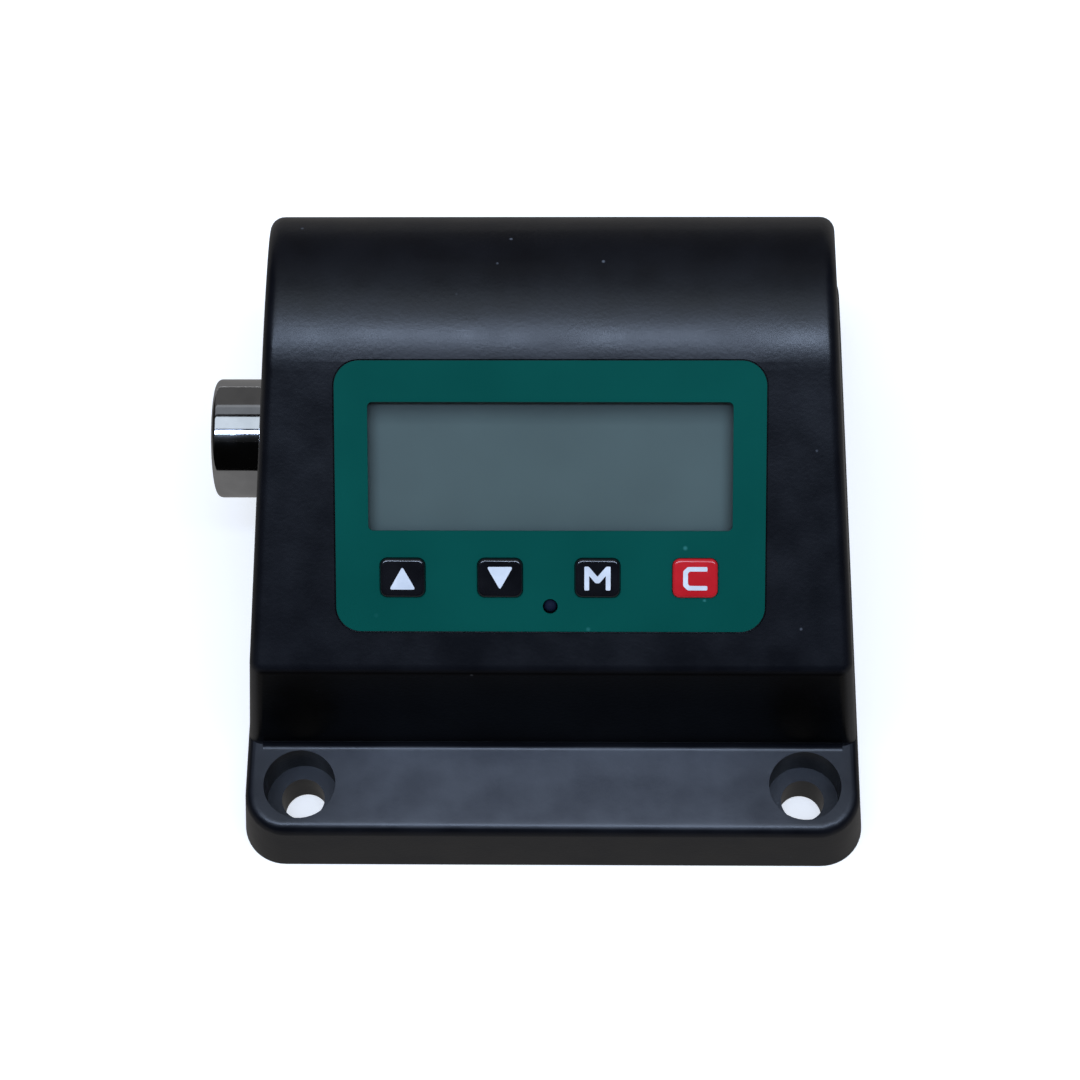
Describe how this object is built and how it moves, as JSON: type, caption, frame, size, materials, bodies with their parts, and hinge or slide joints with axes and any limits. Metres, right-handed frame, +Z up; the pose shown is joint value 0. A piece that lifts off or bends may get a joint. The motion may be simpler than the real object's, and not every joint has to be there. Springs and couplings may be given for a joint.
{
  "type": "torque tester",
  "caption": "Bench torque tester: drafted black housing with bolt flanges, sloping panel with display and keys, rounded top, and a chromed square drive adapter on the left.",
  "frame": {"origin": "centre of the four bolt holes in the plane of the bench", "axes": "+X to the right as the user reads the display, +Y to the rear, +Z up out of the bench"},
  "size_m": [0.1364, 0.14, 0.0885],
  "materials": {
    "housing_black": "satin black coating on a cast body",
    "lid_black": "satin",
    "plate_grey": "satin",
    "seal_rubber": "matte",
    "screw_steel": "plain",
    "bar_steel": "ground",
    "gauge_foil": "matte",
    "bush_bronze": "machined",
    "clamp_steel": "plain",
    "adapter_chrome": "polished",
    "film_green": "satin",
    "lens_clear": "clear",
    "display_grey": "satin",
    "light_white": "matte",
    "board_green": "satin",
    "chip_black": "matte",
    "lamp_navy": "glossy",
    "plug_ivory": "matte",
    "lead_sheath": "matte",
    "key_black": "glossy",
    "key_red": "glossy",
    "plunger_black": "matte",
    "switch_case": "plain",
    "holder_black": "matte",
    "cell_jacket": "satin",
    "contact_nickel": "plated"
  },
  "bodies": {
    "base": {"housing": "housing_black", "base_cover": "plate_grey", "cover_gasket": "seal_rubber", "dust_seal": "seal_rubber", "cover_screws": "screw_steel", "bearing_cap_screws": "screw_steel", "anchor_cap_screws": "screw_steel", "board_screws": "screw_steel", "holder_screws": "screw_steel", "transducer": "bar_steel", "gauge_top": "gauge_foil", "gauge_bottom": "gauge_foil", "input_bush": "bush_bronze", "bearing_cap": "clamp_steel", "anchor_cap": "clamp_steel", "front_overlay": "film_green", "display_lens": "lens_clear", "lcd_glass": "display_grey", "backlight": "light_white", "main_board": "board_green", "processor_chip": "chip_black", "amplifier_chip": "chip_black", "buzzer": "chip_black", "indicator_led": "lamp_navy", "gauge_connector": "plug_ivory", "power_connector": "plug_ivory", "gauge_lead": "lead_sheath", "battery_lead": "lead_sheath", "switch_up": "switch_case", "switch_down": "switch_case", "switch_mode": "switch_case", "switch_clear": "switch_case", "battery_holder": "holder_black", "battery_1": "cell_jacket", "battery_2": "cell_jacket", "battery_3": "cell_jacket", "contact_plates": "contact_nickel", "contact_springs": "contact_nickel"},
    "key_up": {"button_up": "key_black", "plunger_up": "plunger_black"},
    "key_down": {"button_down": "key_black", "plunger_down": "plunger_black"},
    "key_mode": {"button_mode": "key_black", "plunger_mode": "plunger_black"},
    "key_clear": {"button_clear": "key_red", "plunger_clear": "plunger_black"},
    "adapter": {"drive_socket": "adapter_chrome"},
    "lid": {"battery_door": "lid_black"}
  },
  "joints": [
    {"name": "press_up", "type": "slide", "parent": "base", "child": "key_up", "axis": [0, 0.5693, -0.8221], "range_m": [0, 0.0004], "stiffness_N_per_m": 6000},
    {"name": "press_down", "type": "slide", "parent": "base", "child": "key_down", "axis": [0, 0.5693, -0.8221], "range_m": [0, 0.0004], "stiffness_N_per_m": 6000},
    {"name": "press_mode", "type": "slide", "parent": "base", "child": "key_mode", "axis": [0, 0.5693, -0.8221], "range_m": [0, 0.0004], "stiffness_N_per_m": 6000},
    {"name": "press_clear", "type": "slide", "parent": "base", "child": "key_clear", "axis": [0, 0.5693, -0.8221], "range_m": [0, 0.0004], "stiffness_N_per_m": 6000},
    {"name": "adapter_pull", "type": "slide", "parent": "base", "child": "adapter", "axis": [-1, 0, 0], "range_m": [0, 0.02]},
    {"name": "lid_hinge", "type": "hinge", "parent": "base", "child": "lid", "pos_m": [0, 0.04523, 0.02284], "axis": [-1, 0, 0], "range_deg": [0, 90]}
  ]
}
